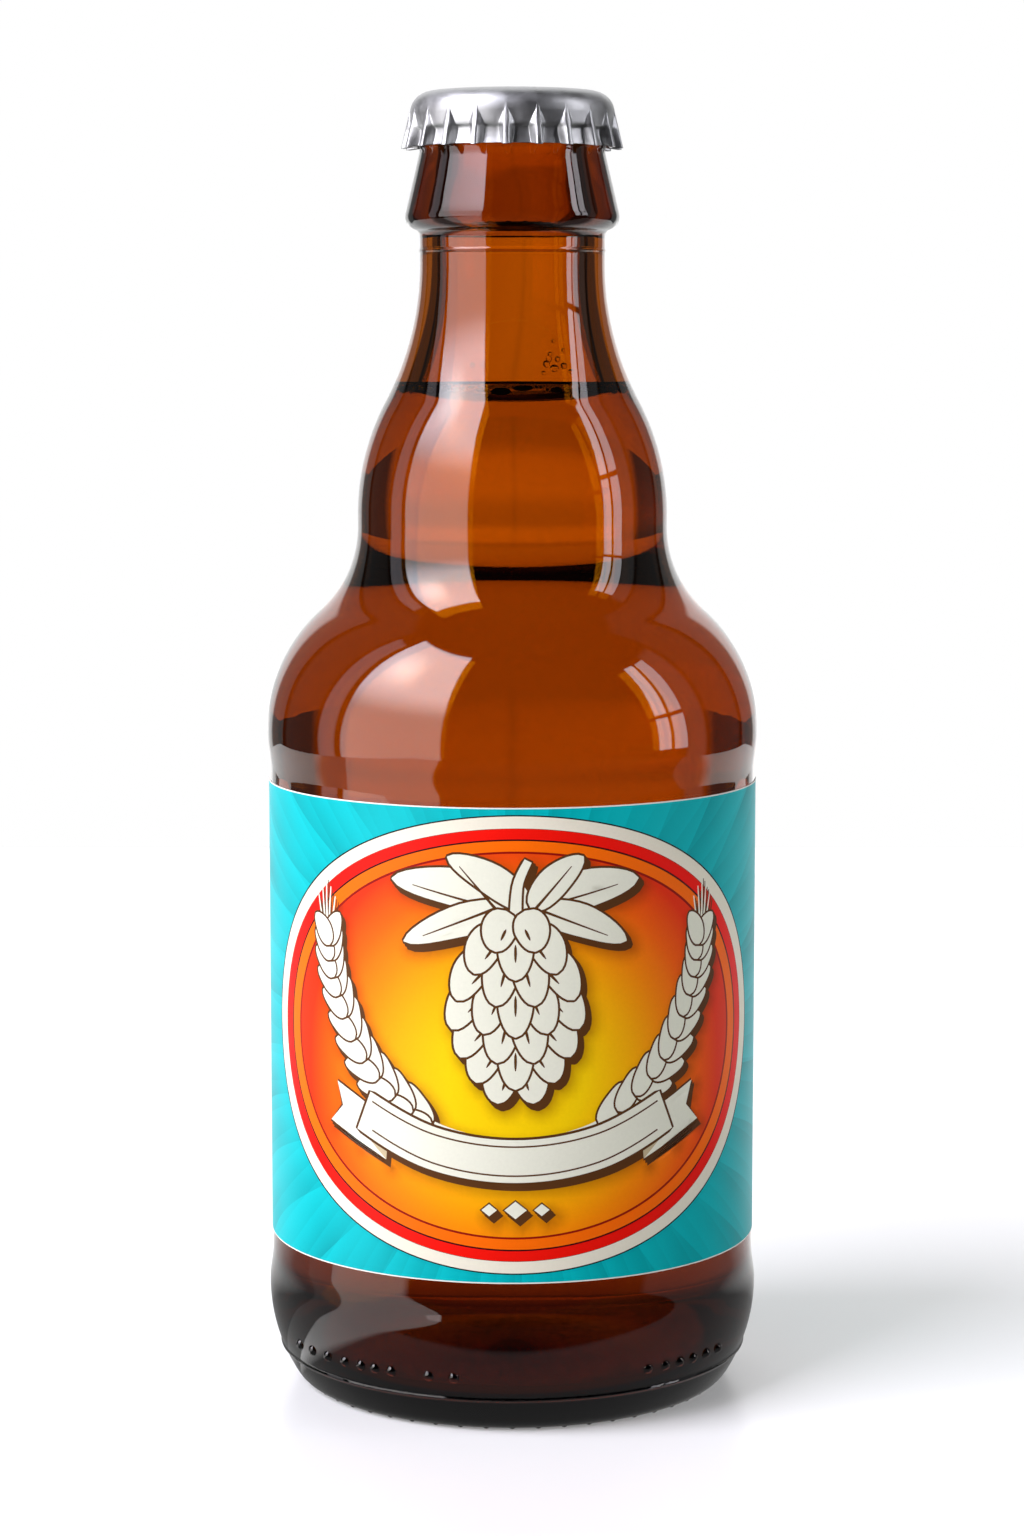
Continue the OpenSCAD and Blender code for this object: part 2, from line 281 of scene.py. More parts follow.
def grow(name, start, tree, values):
    """A plain mesh that a tree makes from a starting mesh. The tree's inputs are given by name."""
    piece = bpy.data.objects.new(name, start)
    bpy.context.scene.collection.objects.link(piece)
    modifier = piece.modifiers.new(tree.name, "NODES")
    modifier.node_group = tree
    for socket in tree.interface.items_tree:
        if socket.in_out == "INPUT" and socket.name in values:
            modifier[socket.identifier] = values[socket.name]
    bake(piece)
    return piece


def bake(piece):
    """Turns what the modifiers make into the piece's own plain mesh."""
    bpy.context.view_layer.update()
    graph = bpy.context.evaluated_depsgraph_get()
    made = bpy.data.meshes.new_from_object(piece.evaluated_get(graph))
    made.name = piece.name
    piece.modifiers.clear()
    piece.data = made


def places(name, spots, sizes, turns):
    """A mesh of loose points, each with its own size and its own turn about the Z axis."""
    mesh = bpy.data.meshes.new(name)
    mesh.from_pydata([tuple(spot) for spot in spots], [], [])
    mesh.attributes.new("size", "FLOAT_VECTOR", "POINT").data.foreach_set("vector", np.ravel(sizes))
    mesh.attributes.new("turn", "FLOAT", "POINT").data.foreach_set("value", np.ravel(turns))
    return mesh


# A round grain on each point, stretched by the point's size and turned by its turn.
grains, given = new_tree("round grains on points", (
    ("Diameter", "Float"), ("Roundness", "Int"), ("Material", "Material"),
))
half = add(grains, "ShaderNodeMath", {0: given["Diameter"], 1: 0.5}, operation="MULTIPLY")
ball = add(grains, "GeometryNodeMeshIcoSphere", {
    "Radius": half.outputs[0], "Subdivisions": given["Roundness"],
})
size = add(grains, "GeometryNodeInputNamedAttribute", {"Name": "size"}, data_type="FLOAT_VECTOR")
turn = add(grains, "GeometryNodeInputNamedAttribute", {"Name": "turn"}, data_type="FLOAT")
turned = add(grains, "ShaderNodeCombineXYZ", {"Z": turn.outputs[0]})
copies = add(grains, "GeometryNodeInstanceOnPoints", {
    "Points": given["Geometry"], "Instance": ball.outputs["Mesh"], "Scale": size.outputs[0],
    "Rotation": turned.outputs[0],
})
finish_tree(grains, copies.outputs[0], given["Material"])

# A full circle of copies of one shape about the Z axis, merged where they meet.
circle, given = new_tree("circle of copies", (
    ("Copies", "Int"), ("First turn", "Float"), ("Merge distance", "Float"), ("Material", "Material"),
))
points = add(circle, "GeometryNodePoints", {"Count": given["Copies"]})
share = add(circle, "ShaderNodeMath", {
    0: add(circle, "GeometryNodeInputIndex").outputs[0], 1: given["Copies"],
}, operation="DIVIDE")
angle = add(circle, "ShaderNodeMath", {0: share.outputs[0], 1: 2 * math.pi, 2: given["First turn"]},
            operation="MULTIPLY_ADD")
turned = add(circle, "ShaderNodeCombineXYZ", {"Z": angle.outputs[0]})
copies = add(circle, "GeometryNodeInstanceOnPoints", {
    "Points": points.outputs[0], "Instance": given["Geometry"], "Rotation": turned.outputs[0],
})
real = add(circle, "GeometryNodeRealizeInstances", {"Geometry": copies.outputs[0]})
merged = add(circle, "GeometryNodeMergeByDistance", {
    "Geometry": real.outputs[0], "Distance": given["Merge distance"],
})
finish_tree(circle, merged.outputs[0], given["Material"])

# Round dots of the mould's code on the heel, in two groups, in degrees from the front.
DOT_ANGLES = (
    -60.5, -54.5, -48.5, -42.5, -37.5, -33.5, -29, -19.5, -13.5,
    33, 38, 42.5, 47, 52, 57,
)
dot_d, dot_out, dot_z = 1.6, 0.5, 8.0
dot_rad = heel_c[0] + rise(heel_r, heel_h - dot_z) - dot_d / 2 + dot_out
dot_turns = [math.radians(a - 90) for a in DOT_ANGLES]
dot_spots = [(dot_rad * MM * math.cos(a), dot_rad * MM * math.sin(a), dot_z * MM) for a in dot_turns]
dots = grow(
    "code_dots", places("code_dots", dot_spots, [(1, 1, 1)] * len(dot_turns), dot_turns), grains,
    {"Diameter": dot_d * MM, "Roundness": 3, "Material": brown_glass},
)

# Short bars pressed into the standing ring: round rods that lie along the radius.
bar_n, bar_w, bar_l, bar_up = 52, 1.2, 3.0, 0.05
bar_mesh = bpy.data.meshes.new("standing_bar")
shape = bmesh.new()
bmesh.ops.create_uvsphere(shape, u_segments=12, v_segments=8, radius=bar_w / 2 * MM)
for vert in shape.verts:
    vert.co.z += math.copysign((bar_l - bar_w) / 2 * MM, vert.co.z) if abs(vert.co.z) > 1e-7 else 0
bmesh.ops.rotate(shape, verts=shape.verts, matrix=Matrix.Rotation(math.radians(90), 3, "Y"))
bar_place = ((toe_c[0] + 1.6 - bar_l / 2) * MM, 0, (bar_w / 2 + bar_up) * MM)
bmesh.ops.translate(shape, verts=shape.verts, vec=bar_place)
shape.to_mesh(bar_mesh)
shape.free()
bars = grow("standing_bars", bar_mesh, circle, {
    "Copies": bar_n, "First turn": 0.0, "Merge distance": 1e-8, "Material": brown_glass,
})

for part in (dots, bars):
    join = bottle.modifiers.new("join", "BOOLEAN")
    join.operation = "UNION"
    join.solver = "MANIFOLD"
    join.object = part
bake(bottle)
for part in (dots, bars):
    bpy.data.objects.remove(part)
bottle.data.set_sharp_from_angle(angle=math.radians(35))
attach(bottle, "root")
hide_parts("bottle_glass")


# Beer: pale gold and clear, up to a level in the neck bulge. Its edge climbs the glass a little.
# It reaches a hair's breadth into the wall, so that no air shows between the two.

beer_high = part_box("beer")[1]
fill_z = beer_high[2] / MM - 1.5
reach, climb, climb_w = 0.06, 3.8, 1.4

beer_pale, tree, output = new_material("pale_beer")
surface = add(tree, "ShaderNodeBsdfPrincipled", {
    "Base Color": colour("#FFFFFF"), "Roughness": 0.0, "IOR": 1.34, "Transmission Weight": 1.0,
})
tint = add(tree, "ShaderNodeVolumeAbsorption", {"Color": colour("#F1E984"), "Density": 100.0})
tree.links.new(surface.outputs[0], output.inputs["Surface"])
tree.links.new(tint.outputs[0], output.inputs["Volume"])


def share_of_climb(turn):
    """How high the beer's edge climbs at an angle from the front, as a share of its most."""
    return 0.76 + 0.24 * math.cos(turn)


wet = inner[inner[:, 1] < fill_z + climb]
wet = np.vstack((wet, (np.interp(fill_z + climb, inner[:, 1], inner[:, 0]), fill_z + climb)))
direction = np.gradient(wet, axis=0)
outward = np.column_stack((direction[:, 1], -direction[:, 0])) / np.hypot(*direction.T)[:, None]
outward[0] = (0, -1)
side = wet + reach * outward
edge_rad = side[-1, 0]
top_rad = np.concatenate((edge_rad - np.linspace(0, 5, 26)[1:], np.linspace(edge_rad - 5, 0, 8)[1:]))
surface_z = fill_z + (side[-1, 1] - fill_z) * np.exp(-(edge_rad - top_rad) / climb_w)
top = np.column_stack((top_rad, surface_z))
takes = np.concatenate((np.ones(len(side)), np.zeros(len(top))))
beer = lathe("beer_fill", np.vstack((side, top)), points_round, takes)

# The bottle was tipped forward a moment ago, so the raised edge is lower at the back.
for vert in beer.data.vertices:
    x, y, z = (c / MM for c in vert.co)
    if z > fill_z + 0.01:
        lower = fill_z + (z - fill_z) * share_of_climb(math.atan2(x, -y))
        rad = math.hypot(x, y)
        moved = rad + np.interp(lower, side[:, 1], side[:, 0]) - np.interp(z, side[:, 1], side[:, 0])
        vert.co = (x * moved / rad * MM, y * moved / rad * MM, lower * MM)
beer.data.materials.append(beer_pale)

# Bubbles of gas that cling to the glass in the raised edge of the beer. Each is a hollow under a
# thin film, and they sit in loose clusters, wider than they are high.
draw = np.random.default_rng(7)
film = 0.09
bubble_spots, bubble_sizes, bubble_turns = [], [], []
free = 0.0
while free < 354:
    width = draw.choice((0.45, 0.7, 1.1, 1.7, 2.6), p=(0.28, 0.26, 0.22, 0.15, 0.09))
    height = min(width, 0.4 + 0.24 * width) * draw.uniform(0.85, 1.15)
    turn = math.radians(free) + width / 2 / edge_rad
    climbed = climb * share_of_climb(turn + math.pi / 2)
    middle = fill_z + climbed - (0.5 + height / 2) * min(1, climbed / climb + 0.1) - draw.uniform(0, 0.4)
    depth = min(width, 0.7)
    reach_in = np.interp(middle, side[:, 1], side[:, 0]) - 0.1 - depth / 2
    bubble_spots.append((reach_in * MM * math.cos(turn), reach_in * MM * math.sin(turn), middle * MM))
    bubble_sizes.append((depth, width, height))
    bubble_turns.append(turn)
    free += math.degrees((width + 0.07) / reach_in) + draw.choice((0.2, 1.2, 6.0), p=(0.66, 0.26, 0.08))
filmed = np.array(bubble_sizes) + 2 * film
for first in (0, 1):
    films = grow(
        "films", places("films", bubble_spots[first::2], filmed[first::2], bubble_turns[first::2]), grains,
        {"Diameter": MM, "Roundness": 2, "Material": beer_pale},
    )
    join = beer.modifiers.new("join", "BOOLEAN")
    join.operation = "UNION"
    join.solver = "MANIFOLD"
    join.object = films
    bake(beer)
    bpy.data.objects.remove(films)
bubbles = grow(
    "bubbles", places("bubbles", bubble_spots, bubble_sizes, bubble_turns), grains,
    {"Diameter": MM, "Roundness": 2, "Material": beer_pale},
)
bubbles.data.flip_normals()
whole = bmesh.new()
whole.from_mesh(beer.data)
whole.from_mesh(bubbles.data)
whole.to_mesh(beer.data)
whole.free()
bpy.data.objects.remove(bubbles)
beer.data.shade_smooth()
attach(beer, "root")
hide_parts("beer")


# Drops of beer that cling inside the neck, a little above the surface, from when it was filled.
# They are flat beads of the same pale beer, and each sits a hair's breadth in the wall.

DROPS = (
    # degrees from the front, height above the surface, width, height
    (20.5, 4.6, 0.9, 1.0), (23.5, 5.9, 0.6, 0.6), (25.0, 4.0, 1.2, 1.0), (28.0, 5.2, 0.7, 0.8),
    (31.5, 4.3, 0.9, 0.9), (33.0, 6.4, 0.5, 0.6), (18.0, 3.4, 0.6, 0.6), (35.5, 3.5, 0.8, 0.7),
    (27.0, 7.6, 0.5, 0.5), (-24.0, 4.4, 0.6, 0.7), (152.0, 5.0, 1.0, 1.1), (201.0, 4.2, 0.8, 0.9),
)
drop_spots, drop_sizes, drop_turns = [], [], []
for degrees, above, width, height in DROPS:
    level = beer_high[2] / MM + above
    turn = math.radians(degrees - 90)
    wall_rad = np.interp(level, inner[:, 1], inner[:, 0]) + float(unevenness(turn, level))
    drop_spots.append((wall_rad * MM * math.cos(turn), wall_rad * MM * math.sin(turn), level * MM))
    drop_sizes.append((0.6 * min(width, height), width, height))
    drop_turns.append(turn)
drops = grow(
    "beer_drops", places("beer_drops", drop_spots, drop_sizes, drop_turns), grains,
    {"Diameter": MM, "Roundness": 3, "Material": beer_pale},
)
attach(drops, "root")


# Crown cap: pressed from tinplate 0.27 mm thick, its skirt crimped into 21 folds under the ring
# of the finish. Between the folds the skirt is drawn in tight, and steps in at the crimp.

cap_t, cap_h, cap_edge_r, cap_gap, flare_out = 0.27, 7.47, 2.88, 0.4, 1.18
crimp_gap, crimp_up, land_out, fold_n, cap_turn = 0.36, 2.6, 0.3, 21, -3.2
cap_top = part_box("crown_cap")[1][2] / MM
cap_rad = ring_rad + cap_gap + cap_t
edge_c = (cap_rad - cap_edge_r, cap_top - cap_edge_r)
skirt_z = cap_top - cap_h
skirt_h = edge_c[1] - skirt_z
crimp_at = 1 - crimp_up / skirt_h
crimp_rad = groove_rad + crimp_gap + cap_t
pitch = 2 * math.pi / fold_n

# Down the cap's side: radius of the flat between the folds, how far the fold stands out of it,
# and, as shares of the pitch, half the crest's width and how far from it the flank ends.
SIDE = []
for degrees in np.linspace(90, 12, 9):
    turn = math.radians(degrees)
    rad = edge_c[0] + cap_edge_r * math.cos(turn)
    z = edge_c[1] + cap_edge_r * math.sin(turn)
    SIDE.append((rad, z, 0, 0.02, 0.05))

# The skirt has a line of points at each of these shares of its height, closest at the crimp.
DOWN = (
    0.0, 0.06, 0.12, 0.19, 0.26, 0.33, 0.39, 0.43, 0.455, 0.48,
    0.505, 0.54, 0.6, 0.68, 0.76, 0.84, 0.92, 0.98, 1.0,
)
for s in DOWN:
    land = np.interp(s, (0, 0.42, 0.5, 0.6, 0.8, 1), (
        cap_rad, cap_rad - 0.4 * cap_gap, crimp_rad + 0.03, crimp_rad, crimp_rad + 0.1, crimp_rad + land_out,
    ))
    crest = cap_rad + flare_out * (s + 0.08) / 1.08
    SIDE.append((
        land, edge_c[1] - skirt_h * s, crest - land,
        np.interp(s, (0, 0.3, 1), (0.03, 0.065, 0.08)),
        np.interp(s, (0, 0.15, crimp_at, 0.6, 1), (0.07, 0.15, 0.275, 0.262, 0.2)),
    ))

# A flank is rounded where it meets the crest and the flat, over this share of the pitch. The
# flats' lower edge is rolled up by the wave, in millimetres, over the skirt's last 0.9 mm.
ROUND_OFF = 0.02
EDGE_WAVE = 0.2
EDGE_WAVE_H = 0.9


def fold_line(rad, z, out, crest_w, flank_w, depth):
    """One line of points across a fold, from the middle of one flat to the middle of the next."""
    # Each spot is its share of the pitch from the crest's middle, and its share of the crest's height.
    spots = [
        (0, 1), (crest_w * 0.6, 1), (crest_w, 0.97), (crest_w + ROUND_OFF, 0.9),
        ((crest_w * 2 + flank_w) / 3 + ROUND_OFF / 2, 0.62), ((crest_w + flank_w * 2) / 3, 0.3),
        (flank_w - ROUND_OFF, 0.07), (flank_w, 0.015), (flank_w + ROUND_OFF, 0),
        ((flank_w + 0.5) / 2, 0), (0.5, 0),
    ]
    spots = [(-u, share) for u, share in spots[:0:-1]] + spots
    rolled = EDGE_WAVE * max(0, 1 - (z - skirt_z) / EDGE_WAVE_H)
    return [(
        (rad + out * share - depth) * math.cos(u * pitch), (rad + out * share - depth) * math.sin(u * pitch),
        z + rolled * (1 - share),
    ) for u, share in spots]


lines = []
for rad, z, out, crest_w, flank_w in SIDE:
    lines.append(fold_line(rad, z, out, crest_w, flank_w, 0))
rad, z, out, crest_w, flank_w = SIDE[-1]
lines.append(fold_line(rad, z - 0.05, out, crest_w, flank_w, cap_t * 0.3))
lines.append(fold_line(rad, z - 0.05, out, crest_w, flank_w, cap_t * 0.7))
for rad, z, out, crest_w, flank_w in reversed(SIDE):
    if rad < edge_c[0] + 0.3 * cap_edge_r:
        rad, z = rad + 0.6 * cap_t, z - cap_t
    lines.append(fold_line(rad, z, out, crest_w, flank_w, cap_t))

across = len(lines[0])
fold_points = [(0, 0, cap_top)] + [point for row in lines for point in row] + [(0, 0, cap_top - cap_t)]
fold_faces = [(0, i + 1, i + 2) for i in range(across - 1)]
for row in range(len(lines) - 1):
    for i in range(1 + row * across, (row + 1) * across):
        fold_faces.append((i, i + across, i + across + 1, i + 1))
last = 1 + (len(lines) - 1) * across
fold_faces += [(len(fold_points) - 1, last + i + 1, last + i) for i in range(across - 1)]
fold_mesh = bpy.data.meshes.new("cap_fold")
fold_mesh.from_pydata([tuple(c * MM for c in point) for point in fold_points], [], fold_faces)

# Bare tinplate: steel with a satin tin coat. The rolling leaves a fine grain, and pressing polishes
# the folds, so the gloss varies a little from place to place.
tinplate, tree, output = new_material("satin_tinplate")
place = add(tree, "ShaderNodeTexCoord").outputs["Object"]
grain = add(tree, "ShaderNodeTexNoise", {"Vector": place, "Scale": 4500.0, "Detail": 3.0, "Roughness": 0.6})
cloud = add(tree, "ShaderNodeTexNoise", {"Vector": place, "Scale": 420.0, "Detail": 4.0, "Roughness": 0.6})
shade = add(tree, "ShaderNodeMix", {0: cloud.outputs[0], 6: colour("#ACADAE"), 7: colour("#D0D1D2")},
            data_type="RGBA")
rough = add(tree, "ShaderNodeMapRange", {0: cloud.outputs[0], 1: 0.3, 2: 0.7, 3: 0.36, 4: 0.52})
bump = add(tree, "ShaderNodeBump", {"Height": grain.outputs[0], "Strength": 0.35, "Distance": 0.00002})
surface = add(tree, "ShaderNodeBsdfPrincipled", {
    "Base Color": shade.outputs[2], "Metallic": 1.0, "Roughness": rough.outputs[0], "Normal": bump.outputs[0],
})
tree.links.new(surface.outputs[0], output.inputs["Surface"])

cap = grow("crimped_crown_cap", fold_mesh, circle, {
    "Copies": fold_n, "First turn": math.radians(cap_turn - 90), "Merge distance": 2e-6, "Material": tinplate,
})
cap.data.set_sharp_from_angle(angle=math.radians(50))
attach(cap, "root")
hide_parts("crown_cap")


# Label: one sheet of coated paper 0.1 mm thick, printed in flat inks and glued round the panel,
# which leaves a bare strip at the back. Its emblem is a hop cone between two barley ears.

label_low, label_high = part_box("label")
paper_rad = label_high[0] / MM
sheet_z0, sheet_z1 = label_low[2] / MM, label_high[2] / MM
# Width of the bare strip, and how far the glued side lies behind the print: just inside the glass.
open_w, sunk = 32.0, 0.12
half_w = math.pi * paper_rad - open_w / 2
oval_s, oval_z, oval_w, oval_h = 0.4, 51.9, 40.2, 29.9


def curve(points, count):
    """Evenly numbered points on a smooth curve through the given points."""
    knots = np.array([points[0], *points, points[-1]], float)
    result = []
    for t in np.linspace(0, len(points) - 1, count):
        i = min(int(t), len(points) - 2)
        u = t - i
        a, b, c, d = knots[i:i + 4]
        result.append(0.5 * (2 * b + (c - a) * u + (2 * a - 5 * b + 4 * c - d) * u * u
                             + (3 * b - a - 3 * c + d) * u ** 3))
    return np.array(result)


def stroke(path, widths):
    """The outline of a line drawn along a path, as wide as told at each of its points."""
    along = np.gradient(path, axis=0)
    sideways = np.column_stack((-along[:, 1], along[:, 0])) / np.hypot(*along.T)[:, None]
    offset = sideways * np.array(widths)[:, None] / 2
    return np.vstack((path - offset, (path + offset)[::-1]))


def blade(base, tip, width, bend=0.0, blunt=0.7):
    """A pointed leaf or grain from its base to its tip, bent sideways by a share of its length."""
    base, tip = np.array(base, float), np.array(tip, float)
    sideways = np.array((base[1] - tip[1], tip[0] - base[0]))
    path = curve([base, (base + tip) / 2 + bend * sideways, tip], 15)
    share = np.linspace(0, 1, 15)
    widths = width * np.sin(math.pi * share ** 0.85) ** blunt
    widths[[0, -1]] = 0.12
    return stroke(path, widths)


def grown_by(outline, extra):
    """The same outline, moved outwards by a distance."""
    along = np.roll(outline, -1, axis=0) - np.roll(outline, 1, axis=0)
    normal = np.column_stack((along[:, 1], -along[:, 0])) / np.hypot(*along.T)[:, None]
    area = np.sum(outline[:, 0] * np.roll(outline[:, 1], -1) - outline[:, 1] * np.roll(outline[:, 0], -1))
    return outline + normal * extra * (1 if area > 0 else -1)


# The inks by number. BARE is what the material paints by place, and BACK is the glued side.
BARE, CREAM, BROWN, FOLD_SHADE, BACK = 0, 1, 2, 3, 4
drawing = []


def draw_shape(outline, ink=CREAM, border=0.0):
    """Lays a shape over what is drawn already, with a brown border round it if asked."""
    if border:
        drawing.append((BROWN, grown_by(outline, border)))
    drawing.append((ink, outline))


# Barley: a bent stalk on each side with a double row of grains and long awns beyond them.
for hand in (-1, 1):
    stalk = curve([(1.0, -13.0), (11.5, -10.2), (20.5, -3.2), (25.8, 6.4), (27.2, 13.2)], 60)
    stalk[:, 0] *= hand
    for awn in range(5):
        start = stalk[50 + awn]
        out_by = (awn - 2) * 1.5
        tip = stalk[-1] + np.array((hand * (0.3 + out_by * 0.55), 7.2 - abs(out_by) * 0.8))
        hair = curve([start, (start + tip) / 2 + (hand * 0.3, 0), tip], 10)
        draw_shape(stroke(hair, np.linspace(0.5, 0.16, 10)))
    draw_shape(stroke(stalk[:58], np.linspace(1.1, 0.7, 58)))
    for pair in range(11):
        start = stalk[14 + pair * 4]
        ahead = stalk[min(16 + pair * 4, 59)] - start
        ahead /= np.hypot(*ahead)
        size = 6.1 - 0.13 * pair
        for sign in (-1, 1):
            lean = math.radians(30 * sign)
            way = np.array((
                ahead[0] * math.cos(lean) - ahead[1] * math.sin(lean),
                ahead[0] * math.sin(lean) + ahead[1] * math.cos(lean),
            ))
            draw_shape(blade(start, start + way * size, 2.8, bend=-0.06 * sign), border=0.28)

# Hop: leaves behind, then the scales of the cone from the tip up, each row over the one below it.
for hand in (-1, 1):
    for tip, width in (((16.5, 21.2), 5.0), ((14.8, 13.2), 4.2), ((8.8, 24.4), 4.0)):
        draw_shape(blade((2.0, 17.8), (hand * tip[0], tip[1]), width, bend=0.05 * hand), border=0.3)
        vein = np.array([(2.6 * hand, 17.9), (hand * (tip[0] * 0.82), 17.8 + (tip[1] - 17.8) * 0.82)])
        draw_shape(stroke(curve(vein, 6), np.linspace(0.4, 0.12, 6)), BROWN)
draw_shape(stroke(curve([(0, 17.0), (0.3, 21.0), (1.6, 24.0)], 10), np.linspace(1.5, 1.0, 10)), border=0.3)
ROWS = (
    # height of the row's top, how far the scales spread, number of scales, length
    (-1.6, 2.0, 2, 6.6), (1.6, 4.4, 3, 7.2), (5.2, 6.2, 4, 7.6), (9.0, 7.2, 5, 7.8),
    (12.6, 6.6, 4, 7.6), (15.6, 4.6, 3, 7.0), (17.6, 2.2, 2, 6.0),
)
for row_z, spread, count, length in ROWS:
    order = sorted(np.linspace(-1, 1, count), key=lambda place: -abs(place))
    for place in order:
        top = (spread * place * 0.55, row_z)
        tip = (spread * place * 1.15, row_z - length * (1 - 0.12 * abs(place)))
        draw_shape(blade(top, tip, 4.4, bend=0.05 * place, blunt=0.62), border=0.3)
        mark = curve([(top[0], top[1] - 2.4), ((top[0] + tip[0]) / 2, (top[1] + tip[1]) / 2 - 1.2)], 5)
        draw_shape(stroke(mark, (0.1, 0.34, 0.38, 0.3, 0.1)), BROWN)

# Ribbon: a plain band that sags in the middle, with its two ends folded back behind it.
RIBBON_H = 5.6
for hand in (-1, 1):
    tail = np.array([(17.5, -15.7), (26.8, -11.6), (24.6, -9.4), (25.6, -6.3), (17.0, -10.2)])
    draw_shape(tail * (hand, 1), border=0.3)
    fold = np.array([(17.5, -15.7), (20.9, -12.6), (20.9, -9.6), (17.0, -10.4)])
    draw_shape(fold * (hand, 1), FOLD_SHADE)
band = curve([(-21.0, -9.6), (-11.0, -13.6), (0, -15.0), (11.0, -13.6), (21.0, -9.6)], 41)
draw_shape(stroke(band, np.full(41, RIBBON_H)), border=0.35)
for offset in (-0.34, 0.34):
    line_path = band[2:-2] + (0, offset * RIBBON_H)
    draw_shape(stroke(line_path, np.full(len(line_path), 0.22)), BROWN)
for spot, size in ((-3.4, 0.8), (0, 1.15), (3.4, 0.8)):
    lozenge = np.array([(0, -1), (1.25, 0), (0, 1), (-1.25, 0)]) * size + (spot, -21.4)
    draw_shape(lozenge, border=0.25)

# Each shape gets a brown side that falls down and to the right, as if it were raised. Small
# brown marks that stand nearly upright get none.
SIDE_FALL = np.array((0.62, -0.72))
sides = []
for ink, outline in drawing:
    if ink == BROWN and len(outline) < 20 and np.ptp(outline[:, 0]) < 1:
        continue
    for step in (0.5, 1.0):
        sides.append((BROWN, outline + SIDE_FALL * step))
light_shapes = [outline for ink, outline in drawing if ink == CREAM]
drawing = sides + drawing

# The sheet is one flat mesh cut along every printed edge, so each triangle has a single ink.
columns, rows = 141, 32
grid_s = np.linspace(-half_w, half_w, columns)
grid_z = np.linspace(sheet_z0, sheet_z1, rows)
flat = [(s, z) for s in grid_s for z in grid_z]
fine_step = 0.8
near_s = np.arange(-31, 31.5, fine_step) + oval_s
near_z = np.arange(-24, 26.5, fine_step) + oval_z
flat += [(s, z) for s in near_s for z in near_z]
rim = [0, rows - 1, columns * rows - 1, (columns - 1) * rows]
loops = [[rim[0], rim[3], rim[2], rim[1]]]
inks = [BARE]
for ink, outline in drawing:
    ahead = np.roll(outline, -1, axis=0)
    if np.sum(outline[:, 0] * ahead[:, 1] - outline[:, 1] * ahead[:, 0]) < 0:
        outline = outline[::-1]
    loops.append(list(range(len(flat), len(flat) + len(outline))))
    flat += [(s + oval_s, z + oval_z) for s, z in outline]
    inks.append(ink)
flat = [Vector(point) for point in flat]
spots, _, triangles, _, _, sources = delaunay_2d_cdt(flat, [], loops, 1, 1e-4)
face_inks = [inks[max(source)] if source else BARE for source in sources]

# How deep each point lies in the soft shadow round the light shapes.
sheet = np.array([tuple(spot) for spot in spots])
shapes_edge = np.vstack([
    np.vstack((outline, (outline + np.roll(outline, -1, axis=0)) / 2)) for outline in light_shapes
]) + (oval_s + 0.9, oval_z - 1.0)
distance = np.array([np.min(np.hypot(*(shapes_edge - spot).T)) for spot in sheet])
shadow = np.clip(1 - distance / 2.2, 0, 1) ** 1.6

# The glued side is a plain grid of the same size, and meets the printed side along the cut edge.
count = len(sheet)
glued = np.array([(s, z) for s in grid_s for z in grid_z])
skins = []
for side, r in ((sheet, paper_rad), (glued, paper_rad - sunk)):
    turn = side[:, 0] / paper_rad
    skins.append(np.column_stack((r * np.sin(turn), -r * np.cos(turn), side[:, 1])))
faces = [tuple(face) for face in triangles]
borders = {(a, b) for face in faces for a, b in zip(face, face[1:] + face[:1])}
borders = [(a, b) for a, b in borders if (b, a) not in borders]
below = {a: count + int(np.argmin(np.hypot(*(glued - sheet[a]).T))) for a, _ in borders}
all_faces = faces + [(b, a, below[a], below[b]) for a, b in borders]
for column in range(columns - 1):
    first = count + column * rows
    all_faces += [(i, i + 1, i + 1 + rows, i + rows) for i in range(first, first + rows - 1)]
label_mesh = bpy.data.meshes.new("paper_label")
label_mesh.from_pydata((np.vstack(skins) * MM).tolist(), [], all_faces)
face_inks += [BACK] * (len(all_faces) - len(faces))
label_mesh.attributes.new("ink", "FLOAT", "FACE").data.foreach_set("value", np.array(face_inks, float))
flat_place = np.column_stack((np.vstack((sheet, glued)), np.zeros(count + len(glued))))
label_mesh.attributes.new("sheet", "FLOAT_VECTOR", "POINT").data.foreach_set("vector", flat_place.ravel())
shadow = np.concatenate((shadow, np.zeros(len(glued))))
label_mesh.attributes.new("shadow", "FLOAT", "POINT").data.foreach_set("value", shadow)
label_mesh.shade_smooth()
label_mesh.set_sharp_from_angle(angle=math.radians(40))
label = bpy.data.objects.new("paper_label", label_mesh)
bpy.context.scene.collection.objects.link(label)


# Coated label paper, printed in flat inks: satin, with a faint mottle from the fibres below the
# coating. The ground is a fan of soft folds, and the oval holds rings round a glowing field.
printed_paper, tree, output = new_material("printed_label_paper")
sheet_place = add(tree, "ShaderNodeAttribute", attribute_name="sheet").outputs["Vector"]
ink = add(tree, "ShaderNodeAttribute", attribute_name="ink").outputs["Fac"]
shadow_depth = add(tree, "ShaderNodeAttribute", attribute_name="shadow").outputs["Fac"]
up_sheet = add(tree, "ShaderNodeSeparateXYZ", {0: sheet_place}).outputs["Y"]
from_middle = add(tree, "ShaderNodeVectorMath", {0: sheet_place, 1: (oval_s, oval_z, 0)},
                  operation="SUBTRACT")
in_oval = add(tree, "ShaderNodeVectorMath", {0: from_middle, 1: (oval_w, oval_h, 1)}, operation="DIVIDE")
oval_share = add(tree, "ShaderNodeVectorMath", {0: in_oval}, operation="LENGTH").outputs["Value"]
parts = add(tree, "ShaderNodeSeparateXYZ", {0: from_middle}).outputs
